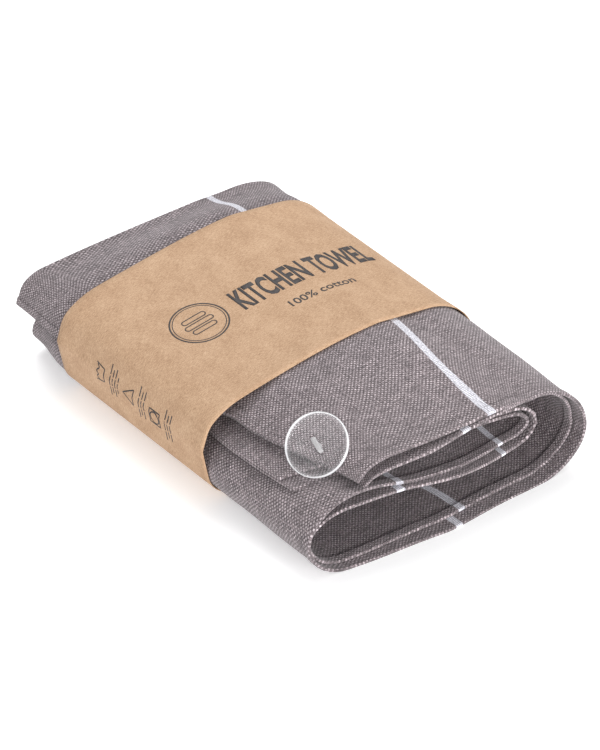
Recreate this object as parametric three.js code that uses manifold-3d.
// A folded kitchen towel in a paper belly band, with a clear button sewn near its flap's corner.
// Millimetres, +Z up. X runs along the pack: the closed fold lies at -X, the hemmed ends at +X.
// The cloth is one sheet, doubled at the far end. Each body of cloth here is the doubled cloth.

import * as THREE from 'three';
import { mergeVertices } from 'three/addons/utils/BufferGeometryUtils.js';
import Module from 'manifold-3d';

// ---- Pack ---------------------------------------------------------------------------------
const packLength = 222;
const packWidth = 156;
const packHeight = 57;

// ---- Cloth --------------------------------------------------------------------------------
const clothThickness = 2.2;
const seamGap = 0.3;
const flapSetback = 8;
const foldSetback = 3;
const middleSetback = 5;
const curlSetback = 7;
const innerSetback = 22;
const nearStackDrop = 9.6;

// ---- Paper band ---------------------------------------------------------------------------
const bandWidth = 106;
const bandCentreX = -23;
const paperThickness = 0.4;
const bandClearance = 1.2;
const lapLength = 24;
const lapRamp = 14;
const glueThickness = 0.3;
const glueWidth = 90;
const glueInset = 2;
const paperGap = 0.3;

// ---- Hems ---------------------------------------------------------------------------------
const hemWidth = 4.6;
const threadRadius = 0.25;
const threadGap = 0.4;
const threadEndInset = 3;
const edgeThreadSteps = 24;
const endThreadSteps = 34;

// ---- Button -------------------------------------------------------------------------------
const buttonDiameter = 29;
const buttonThickness = 3.4;
const buttonRim = 2.2;
const buttonDish = 0.9;
const holeDiameter = 2.8;
const holeSpacing = 7.2;
const shankLength = 2.6;
const shankRadius = 1.1;
const shankWaist = 0.9;
const loopRadius = 0.55;
const loopCorner = 1.1;
const buttonSides = 36;
const holeSides = 16;
const arcSteps = 6;
const mergeDistance = 1e-4;
const buttonEndInset = 37.6;
const buttonOverhang = 8;
const buttonEdgeInset = buttonDiameter / 2 - buttonOverhang;
const buttonLean = THREE.MathUtils.degToRad(46);
const buttonYaw = THREE.MathUtils.degToRad(24);
const buttonSpin = THREE.MathUtils.degToRad(-14);

// ---- Heights that follow from the sizes above ----------------------------------------------
const lapStack = paperThickness * 2 + glueThickness + paperGap * 2;
const heldBaseZ = lapStack + paperGap + clothThickness / 2;
const heldCrownZ = packHeight - paperThickness - bandClearance - clothThickness / 2;

// The folded cloth's section is set by the same named offsets at four places along the pack.
// Insets are measured from the pack's sides, and drops are measured down from the section's crown.
const held = {
  crownZ: heldCrownZ, crownInset: 58,
  leftInset: 9, leftReach: 15, leftWaistDrop: 37, leftTopDrop: 25,
  rightInset: 1.8, rightReach: 31, rightWaistDrop: 33, rightTopDrop: 4,
  edgeInset: 12.5, edgeDrop: 14.5, bendInset: 24, bendDrop: 8.6, shoulderInset: 42, shoulderDrop: 3.8,
  sagY: 5, middleDrop: 22, curlInset: 22, curlReach: 9, curlDrop: 20.5, innerDrop: 10.5,
  innerInset: 38, innerSlopeDrop: 13.5, innerEdgeInset: 4.5, innerEdgeDrop: 22.5,
};
const heldFar = {
  ...held,
  edgeInset: -2.6, edgeDrop: 25, bendInset: 2, bendDrop: 14, shoulderInset: 17, shoulderDrop: 7.4,
  innerEdgeInset: 12, innerEdgeDrop: 21,
};
const near = {
  crownZ: heldCrownZ - 7.7, crownInset: 46,
  leftInset: 8.5, leftReach: 20, leftWaistDrop: 28.5, leftTopDrop: nearStackDrop + clothThickness * 2,
  rightInset: 1.3, rightReach: 28, rightWaistDrop: 27, rightTopDrop: 1,
  edgeInset: 27.5, edgeDrop: 8.7, bendInset: 33.5, bendDrop: 3.2, shoulderInset: 47, shoulderDrop: 1,
  sagY: 12, middleDrop: 22, curlInset: 27, curlReach: 11, curlDrop: 20.5, innerDrop: 5.6,
  innerInset: 38, innerSlopeDrop: 11.8, innerEdgeInset: 7, innerEdgeDrop: 12.4,
};
const far = {
  crownZ: heldCrownZ - 12.5, crownInset: 52,
  leftInset: 16.5, leftReach: 17, leftWaistDrop: 31.2, leftTopDrop: 20.7,
  rightInset: 2.2, rightReach: 28, rightWaistDrop: 14, rightTopDrop: 1,
  edgeInset: -9.4, edgeDrop: 13.2, bendInset: -6.7, bendDrop: 3.4, shoulderInset: 4.5, shoulderDrop: 0.7,
  sagY: 5, middleDrop: 15.5, curlInset: 22, curlReach: 8, curlDrop: 15, innerDrop: 6.5,
  innerInset: 35.5, innerSlopeDrop: 8.6, innerEdgeInset: 3.5, innerEdgeDrop: 11,
};

const farX = -packLength / 2;
const bandFarX = bandCentreX - bandWidth / 2;
const bandNearX = bandCentreX + bandWidth / 2;
const flapEndX = packLength / 2 - flapSetback;
const foldEndX = packLength / 2 - foldSetback;
const middleEndX = packLength / 2 - middleSetback;
const curlEndX = packLength / 2 - curlSetback;
const innerEndX = packLength / 2 - innerSetback;
const heldMargin = 4;
const sagRun = 40;
const farStation = 9;
const bandStations = 3;
const nearStations = 6;
const panelSteps = 10;
const foldSteps = 12;
const freeTrim = 0.01;

// ---- Section of the folded cloth -----------------------------------------------------------
function smooth(t) {
  const u = THREE.MathUtils.clamp(t, 0, 1);
  return u * u * (3 - 2 * u);
}

// Between the band's ends the section is held's, sheared evenly into heldFar's.
function offsetsAt(x) {
  const heldNearX = bandNearX + heldMargin;
  const heldFarX = bandFarX - heldMargin;
  const toNear = smooth((x - heldNearX) / (flapEndX - heldNearX));
  const toFar = smooth((heldFarX - x) / (heldFarX - farX));
  const acrossBand = THREE.MathUtils.clamp((bandNearX - x) / bandWidth, 0, 1);
  const mixed = {};
  for (const key of Object.keys(held)) {
    const under = held[key] + (heldFar[key] - held[key]) * acrossBand;
    mixed[key] = under + (near[key] - under) * toNear + (far[key] - under) * toFar;
  }
  const sag = smooth((x - heldNearX) / sagRun);
  mixed.baseZ = heldBaseZ + (clothThickness / 2 - heldBaseZ) * sag;
  return mixed;
}

function landmarksAt(x) {
  const o = offsetsAt(x);
  const left = -packWidth / 2 + o.leftInset;
  const right = packWidth / 2 - o.rightInset;
  const curl = right - o.curlInset;
  return {
    o, left, right, curl,
    leftRoot: left + o.leftReach,
    rightRoot: right - o.rightReach,
    curlRoot: curl - o.curlReach,
    leftTopZ: o.crownZ - o.leftTopDrop,
    leftWaistZ: o.crownZ - o.leftWaistDrop,
    rightTopZ: o.crownZ - o.rightTopDrop,
    rightWaistZ: o.crownZ - o.rightWaistDrop,
    middleZ: o.crownZ - o.middleDrop,
    curlLowZ: o.crownZ - o.curlDrop,
    innerZ: o.crownZ - o.innerDrop,
  };
}

function spline(points, steps) {
  return new THREE.SplineCurve(points.map((p) => new THREE.Vector2(p[0], p[1]))).getSpacedPoints(steps);
}

// A fold in section: two quarter ellipses that meet at the fold's widest point.
function fold(rootY, reach, fromZ, waistZ, toZ) {
  const points = [];
  for (let i = 0; i <= foldSteps; i += 1) {
    const angle = (Math.PI * i) / foldSteps;
    const endZ = i * 2 <= foldSteps ? fromZ : toZ;
    const y = rootY + reach * Math.sin(angle);
    points.push(new THREE.Vector2(y, waistZ + (endZ - waistZ) * Math.abs(Math.cos(angle))));
  }
  return points;
}

function topFlapSection(x) {
  const m = landmarksAt(x);
  return spline([
    [m.left + m.o.edgeInset, m.o.crownZ - m.o.edgeDrop],
    [m.left + m.o.bendInset, m.o.crownZ - m.o.bendDrop],
    [m.left + m.o.shoulderInset, m.o.crownZ - m.o.shoulderDrop],
    [packWidth / 2 - m.o.crownInset, m.o.crownZ],
    [m.rightRoot, m.rightTopZ],
  ], panelSteps);
}

function rightFoldSection(x) {
  const m = landmarksAt(x);
  return fold(m.rightRoot, m.right - m.rightRoot, m.rightTopZ, m.rightWaistZ, m.o.baseZ);
}

function basePanelSection(x) {
  const m = landmarksAt(x);
  return spline([[m.rightRoot, m.o.baseZ], [m.leftRoot, m.o.baseZ]], panelSteps);
}

function leftFoldSection(x) {
  const m = landmarksAt(x);
  return fold(m.leftRoot, m.left - m.leftRoot, m.o.baseZ, m.leftWaistZ, m.leftTopZ);
}

function middlePanelSection(x) {
  const m = landmarksAt(x);
  return spline([[m.leftRoot, m.leftTopZ], [m.o.sagY, m.middleZ], [m.curlRoot, m.curlLowZ]], panelSteps);
}

function innerFoldSection(x) {
  const m = landmarksAt(x);
  return fold(m.curlRoot, m.curl - m.curlRoot, m.curlLowZ, (m.curlLowZ + m.innerZ) / 2, m.innerZ);
}

function innerPanelSection(x) {
  const m = landmarksAt(x);
  return spline([
    [m.curlRoot, m.innerZ],
    [m.left + m.o.innerInset, m.o.crownZ - m.o.innerSlopeDrop],
    [m.left + m.o.innerEdgeInset, m.o.crownZ - m.o.innerEdgeDrop],
  ], panelSteps);
}

// ---- Closed bodies from sections ------------------------------------------------------------
function shortened(points, start, end) {
  const cut = points.map((p) => p.clone());
  const last = cut.length - 1;
  const pull = (p, q, distance) => p.add(q.clone().sub(p).setLength(distance));
  pull(cut[0], cut[1], start);
  pull(cut[last], cut[last - 1], end);
  return cut;
}

function normalsOf(points) {
  return points.map((_, i) => {
    const before = points[Math.max(i - 1, 0)];
    const after = points[Math.min(i + 1, points.length - 1)];
    const along = after.clone().sub(before).normalize();
    return new THREE.Vector2(-along.y, along.x);
  });
}

function signedVolume(vertices, faces) {
  let total = 0;
  const [a, b, c] = [new THREE.Vector3(), new THREE.Vector3(), new THREE.Vector3()];
  for (let i = 0; i < faces.length; i += 3) {
    a.fromArray(vertices, faces[i] * 3);
    b.fromArray(vertices, faces[i + 1] * 3);
    c.fromArray(vertices, faces[i + 2] * 3);
    total += a.dot(b.cross(c));
  }
  return total / 6;
}

// A sheet of one thickness: its section, a row of points across, is carried along X.
function sheetBody(sectionAt, xs, thickness) {
  const vertices = [];
  let across = 0;
  for (const x of xs) {
    const points = sectionAt(x);
    const normals = normalsOf(points);
    across = points.length;
    for (const side of [1, -1]) {
      points.forEach((p, i) => {
        const q = p.clone().addScaledVector(normals[i], (side * thickness) / 2);
        vertices.push(x, q.x, q.y);
      });
    }
  }
  const faces = [];
  const at = (row, side, i) => row * 2 * across + side * across + i;
  const quad = (a, b, c, d) => faces.push(a, b, c, a, c, d);
  const rows = xs.length;
  for (let r = 0; r + 1 < rows; r += 1) {
    for (let i = 0; i + 1 < across; i += 1) {
      quad(at(r, 0, i), at(r, 0, i + 1), at(r + 1, 0, i + 1), at(r + 1, 0, i));
      quad(at(r, 1, i), at(r + 1, 1, i), at(r + 1, 1, i + 1), at(r, 1, i + 1));
    }
    const last = across - 1;
    quad(at(r, 0, 0), at(r + 1, 0, 0), at(r + 1, 1, 0), at(r, 1, 0));
    quad(at(r, 0, last), at(r, 1, last), at(r + 1, 1, last), at(r + 1, 0, last));
  }
  for (let i = 0; i + 1 < across; i += 1) {
    quad(at(0, 0, i), at(0, 1, i), at(0, 1, i + 1), at(0, 0, i + 1));
    quad(at(rows - 1, 0, i), at(rows - 1, 0, i + 1), at(rows - 1, 1, i + 1), at(rows - 1, 1, i));
  }
  if (signedVolume(vertices, faces) < 0) {
    for (let i = 0; i < faces.length; i += 3) {
      [faces[i], faces[i + 1]] = [faces[i + 1], faces[i]];
    }
  }
  const geometry = new THREE.BufferGeometry();
  geometry.setAttribute('position', new THREE.Float32BufferAttribute(vertices, 3));
  geometry.setIndex(faces);
  geometry.computeVertexNormals();
  return geometry;
}

function stationsTo(endX) {
  const heldNearX = bandNearX + heldMargin;
  const xs = [farX, farX + farStation, farX + farStation * 2, bandFarX - heldMargin];
  for (let i = 0; i <= bandStations; i += 1) {
    xs.push(bandFarX + (bandWidth * i) / bandStations);
  }
  for (let i = 0; i <= nearStations; i += 1) {
    xs.push(heldNearX + ((endX - heldNearX) * i) / nearStations);
  }
  return xs;
}

function clothBody(sectionAt, endX, freeEnds = [false, false]) {
  const trimmed = (x) => shortened(
    sectionAt(x),
    freeEnds[0] ? freeTrim : seamGap / 2,
    freeEnds[1] ? freeTrim : seamGap / 2,
  );
  return sheetBody(trimmed, stationsTo(endX), clothThickness);
}

// ---- Materials ------------------------------------------------------------------------------
const cloth = () => new THREE.MeshStandardMaterial({ color: 0x857b7d, roughness: 0.95, metalness: 0 });
const thread = () => new THREE.MeshStandardMaterial({ color: 0x6f6668, roughness: 0.9, metalness: 0 });
const kraft = () => new THREE.MeshStandardMaterial({ color: 0xd0aa86, roughness: 0.85, metalness: 0 });
const glue = () => new THREE.MeshStandardMaterial({ color: 0xe8e0c8, roughness: 0.5, metalness: 0 });
const clear = () => new THREE.MeshStandardMaterial({
  color: 0xe6e6ea, roughness: 0.1, metalness: 0, transparent: true, opacity: 0.35,
});

function named(name, geometry, material) {
  const mesh = new THREE.Mesh(geometry, material);
  mesh.name = name;
  return mesh;
}

// ---- Hem threads ----------------------------------------------------------------------------
function threadTube(points) {
  const ring = new THREE.Shape();
  ring.absarc(0, 0, threadRadius, 0, Math.PI * 2);
  const path = new THREE.CatmullRomCurve3(points);
  return new THREE.ExtrudeGeometry(ring, { extrudePath: path, steps: points.length * 2, curveSegments: 3 });
}

// The point at a distance along a section, lifted off the cloth's face on the given side.
function onSection(x, sectionAt, distance, lift) {
  const points = sectionAt(x);
  const normals = normalsOf(points);
  let left = distance;
  let i = 0;
  while (i + 2 < points.length && left > points[i].distanceTo(points[i + 1])) {
    left -= points[i].distanceTo(points[i + 1]);
    i += 1;
  }
  const share = left / points[i].distanceTo(points[i + 1]);
  const p = points[i].clone().lerp(points[i + 1], share);
  const n = normals[i].clone().lerp(normals[i + 1], share).normalize();
  return new THREE.Vector3(x, p.x, p.y).add(new THREE.Vector3(0, n.x, n.y).multiplyScalar(lift));
}

const threadLift = clothThickness / 2 + threadGap + threadRadius;

function edgeHemThread(sectionAt, endX, lift) {
  const startX = farX + threadEndInset;
  const points = [];
  for (let i = 0; i <= edgeThreadSteps; i += 1) {
    const x = startX + ((endX - threadEndInset - startX) * i) / edgeThreadSteps;
    points.push(onSection(x, sectionAt, hemWidth, lift));
  }
  return threadTube(points);
}

function lengthOf(points) {
  return points.slice(1).reduce((sum, p, i) => sum + p.distanceTo(points[i]), 0);
}

function endHemThread() {
  const x = flapEndX - hemWidth;
  const start = hemWidth + threadEndInset;
  const total = lengthOf(topFlapSection(x)) - start;
  const points = [];
  for (let i = 0; i <= endThreadSteps; i += 1) {
    const distance = start + ((total - start) * i) / endThreadSteps;
    points.push(onSection(x, topFlapSection, distance, threadLift));
  }
  return threadTube(points);
}

// ---- Paper band -----------------------------------------------------------------------------
function hullOf(points) {
  const sorted = [...points].sort((a, b) => a.x - b.x || a.y - b.y);
  const turn = (o, a, b) => (a.x - o.x) * (b.y - o.y) - (a.y - o.y) * (b.x - o.x);
  const half = (list) => {
    const chain = [];
    for (const p of list) {
      while (chain.length > 1 && turn(chain[chain.length - 2], chain[chain.length - 1], p) <= 0) {
        chain.pop();
      }
      chain.push(p);
    }
    chain.pop();
    return chain;
  };
  return [...half(sorted), ...half([...sorted].reverse())];
}

// The band is stretched round the cloth, so its section is the convex outline of the cloth at both
// of the band's ends, moved out. It runs from the left root over the top to the right root.
function bandOver(distance) {
  const outermost = [topFlapSection, rightFoldSection, leftFoldSection, innerPanelSection];
  const ends = [bandFarX, bandNearX];
  const cloths = ends.flatMap((x) => outermost.flatMap((sectionAt) => sectionAt(x)));
  const hull = hullOf(cloths);
  const count = hull.length;
  const moved = hull.map((p, i) => {
    const along = hull[(i + 1) % count].clone().sub(hull[(i + count - 1) % count]).normalize();
    return p.clone().add(new THREE.Vector2(along.y, -along.x).multiplyScalar(distance));
  });
  const turn = (p) => (Math.atan2(-p.x, packHeight / 2 - p.y) + Math.PI * 2) % (Math.PI * 2);
  const m = landmarksAt(bandCentreX);
  return moved
    .filter((p) => p.x < m.leftRoot || p.x > m.rightRoot || p.y > packHeight / 2)
    .sort((a, b) => turn(a) - turn(b));
}

// One strip: it starts over its own far end, steps down to the table, goes round the cloth and
// comes back under its start. The glue lies between the two ends.
function bandSection() {
  const m = landmarksAt(bandCentreX);
  const floorZ = paperThickness / 2;
  const overlapZ = lapStack - paperThickness / 2;
  return [
    new THREE.Vector2(lapLength / 2, overlapZ),
    new THREE.Vector2(-lapLength / 2, overlapZ),
    new THREE.Vector2(-lapLength / 2 - lapRamp, floorZ),
    new THREE.Vector2(m.leftRoot, floorZ),
    ...bandOver(clothThickness / 2 + bandClearance + paperThickness / 2),
    new THREE.Vector2(m.rightRoot, floorZ),
    new THREE.Vector2(-lapLength / 2, floorZ),
  ];
}

function paperBand() {
  return sheetBody(bandSection, [bandFarX, bandCentreX, bandNearX], paperThickness);
}

function bandGlue() {
  const z = lapStack / 2;
  const strip = () => [
    new THREE.Vector2(-lapLength / 2 + glueInset, z),
    new THREE.Vector2(lapLength / 2 - glueInset, z),
  ];
  return sheetBody(strip, [bandCentreX - glueWidth / 2, bandCentreX + glueWidth / 2], glueThickness);
}

// ---- Button -----------------------------------------------------------------------------------
const wasm = await Module();
wasm.setup();

function toSolid(geometry) {
  const bare = geometry.clone();
  bare.deleteAttribute('normal');
  bare.deleteAttribute('uv');
  const merged = mergeVertices(bare, mergeDistance);
  return new wasm.Manifold(new wasm.Mesh({
    numProp: 3,
    vertProperties: new Float32Array(merged.attributes.position.array),
    triVerts: new Uint32Array(merged.index.array),
  }));
}

function toGeometry(solid) {
  const mesh = solid.getMesh();
  const geometry = new THREE.BufferGeometry();
  geometry.setAttribute('position', new THREE.Float32BufferAttribute(mesh.vertProperties, 3));
  geometry.setIndex(Array.from(mesh.triVerts));
  geometry.computeVertexNormals();
  return geometry;
}

// Heights above the cloth's face, along the button's own axis.
const buttonFloor = threadGap + shankLength + threadGap;
const buttonTop = buttonFloor + buttonThickness;

function buttonDisc() {
  const radius = buttonDiameter / 2;
  const round = buttonThickness / 2;
  const profile = [new THREE.Vector2(0, buttonFloor)];
  for (let i = 0; i <= arcSteps; i += 1) {
    const angle = -Math.PI / 2 + (Math.PI * i) / arcSteps;
    profile.push(new THREE.Vector2(
      radius - round + round * Math.cos(angle),
      buttonFloor + round + round * Math.sin(angle),
    ));
  }
  profile.push(new THREE.Vector2(radius - round - buttonRim, buttonTop - buttonDish));
  profile.push(new THREE.Vector2(0, buttonTop - buttonDish));
  const lathe = new THREE.LatheGeometry(profile, buttonSides);
  lathe.rotateX(Math.PI / 2);
  let solid = toSolid(lathe);
  const drill = [holeDiameter / 2, holeDiameter / 2, buttonThickness * 3, holeSides];
  for (const side of [-1, 1]) {
    const hole = new THREE.CylinderGeometry(...drill);
    hole.rotateX(Math.PI / 2);
    hole.translate((side * holeSpacing) / 2, 0, buttonFloor + buttonThickness / 2);
    solid = solid.subtract(toSolid(hole));
  }
  return toGeometry(solid);
}

// The thread goes down through both holes; its bar lies across the dish between them.
function threadLoop() {
  const half = holeSpacing / 2;
  const barZ = buttonTop - buttonDish + threadGap + loopRadius;
  const endZ = buttonFloor - threadGap / 2;
  const path = new THREE.CatmullRomCurve3([
    new THREE.Vector3(-half, 0, endZ),
    new THREE.Vector3(-half, 0, barZ - loopCorner),
    new THREE.Vector3(-half + loopCorner / 2, 0, barZ),
    new THREE.Vector3(half - loopCorner / 2, 0, barZ),
    new THREE.Vector3(half, 0, barZ - loopCorner),
    new THREE.Vector3(half, 0, endZ),
  ], false, 'centripetal');
  const ring = new THREE.Shape();
  ring.absarc(0, 0, loopRadius, 0, Math.PI * 2);
  return new THREE.ExtrudeGeometry(ring, { extrudePath: path, steps: 24, curveSegments: 4 });
}

// The shank is the same thread, wound round itself between the cloth and the button.
function threadShank() {
  const profile = [
    new THREE.Vector2(0, threadGap),
    new THREE.Vector2(shankRadius, threadGap),
    new THREE.Vector2(shankWaist, threadGap + shankLength / 2),
    new THREE.Vector2(shankRadius, threadGap + shankLength - threadGap),
    new THREE.Vector2(0, threadGap + shankLength - threadGap),
  ];
  const lathe = new THREE.LatheGeometry(profile, 12);
  lathe.rotateX(Math.PI / 2);
  return lathe;
}

function buttonGroup() {
  const group = new THREE.Group();
  const x = packLength / 2 - buttonEndInset;
  group.position.copy(onSection(x, topFlapSection, buttonEdgeInset, clothThickness / 2));
  const axis = new THREE.Vector3(
    Math.sin(buttonLean) * Math.sin(buttonYaw),
    -Math.sin(buttonLean) * Math.cos(buttonYaw),
    Math.cos(buttonLean),
  );
  group.quaternion.setFromUnitVectors(new THREE.Vector3(0, 0, 1), axis);
  group.quaternion.multiply(new THREE.Quaternion().setFromAxisAngle(new THREE.Vector3(0, 0, 1), buttonSpin));
  group.add(named('button', buttonDisc(), clear()));
  group.add(named('button_thread_loop', threadLoop(), thread()));
  group.add(named('button_thread_shank', threadShank(), thread()));
  return group;
}

// ---- The whole pack -----------------------------------------------------------------------------
const pack = new THREE.Group();
const freeEdge = [true, false];
pack.add(named('towel_top_flap', clothBody(topFlapSection, flapEndX, freeEdge), cloth()));
pack.add(named('towel_outer_fold', clothBody(rightFoldSection, foldEndX), cloth()));
pack.add(named('towel_base_panel', clothBody(basePanelSection, packLength / 2), cloth()));
pack.add(named('towel_left_fold', clothBody(leftFoldSection, foldEndX), cloth()));
pack.add(named('towel_middle_panel', clothBody(middlePanelSection, middleEndX), cloth()));
pack.add(named('towel_inner_fold', clothBody(innerFoldSection, curlEndX), cloth()));
pack.add(named('towel_inner_panel', clothBody(innerPanelSection, innerEndX, [false, true]), cloth()));
pack.add(named('flap_edge_hem_thread', edgeHemThread(topFlapSection, flapEndX, threadLift), thread()));
pack.add(named('flap_end_hem_thread', endHemThread(), thread()));
pack.add(named('paper_band', paperBand(), kraft()));
pack.add(named('band_glue', bandGlue(), glue()));
pack.add(buttonGroup());

// The origin is under the middle of the pack, on the surface that it lies on.
const box = new THREE.Box3().setFromObject(pack, true);
const middle = box.getCenter(new THREE.Vector3());
pack.position.set(-middle.x, -middle.y, -box.min.z);

export default pack;
